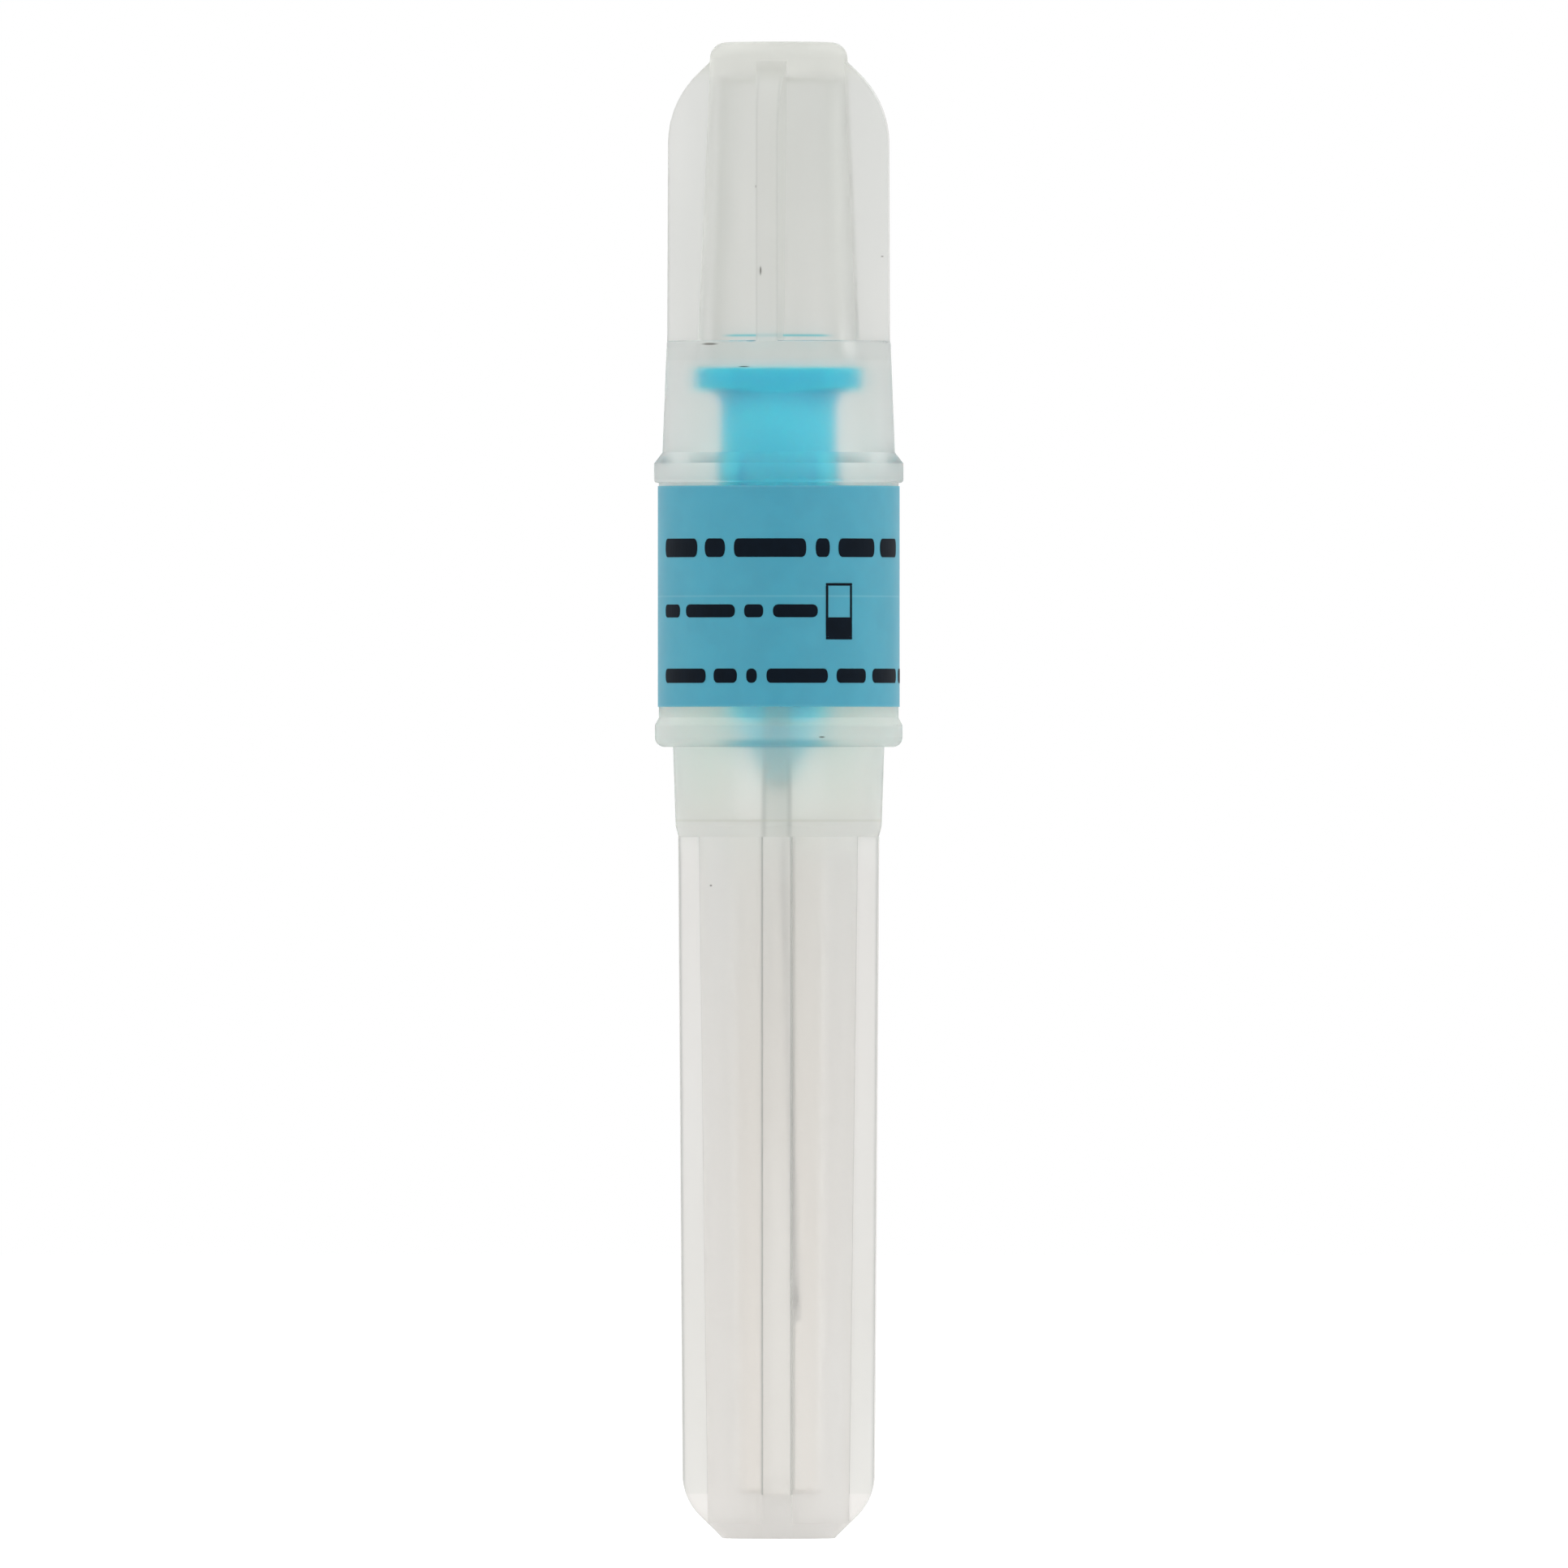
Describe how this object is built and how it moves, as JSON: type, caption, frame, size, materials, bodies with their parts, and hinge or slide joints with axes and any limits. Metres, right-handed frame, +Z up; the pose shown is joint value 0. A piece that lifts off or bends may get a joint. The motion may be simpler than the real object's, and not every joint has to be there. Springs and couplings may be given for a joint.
{
  "type": "irrigation probe",
  "caption": "Fine closed-end irrigation cannula on a Luer-lock hub, sealed in a frosted finned tube whose push-fit cap is held by a film label.",
  "frame": {"origin": "centre of the sheath's closed foot, on the surface that the tube stands on", "axes": "+Z up along the axis of the tube from the sheath's foot to the cap; the sheath's fins lie along X and Y; the cannula leans towards +X"},
  "size_m": [0.0116, 0.0116, 0.0691],
  "materials": {
    "frosted_plastic": "frosted, translucent",
    "blue_plastic": "smooth, translucent aqua blue",
    "steel": "drawn and electropolished",
    "clear_glue": "clear, cured",
    "label_film": "satin printed film"
  },
  "bodies": {
    "root": {"sheath": "frosted_plastic", "cap": "frosted_plastic", "hub": "blue_plastic", "cannula": "steel", "adhesive_bead": "clear_glue", "seal_label": "label_film"}
  },
  "joints": []
}
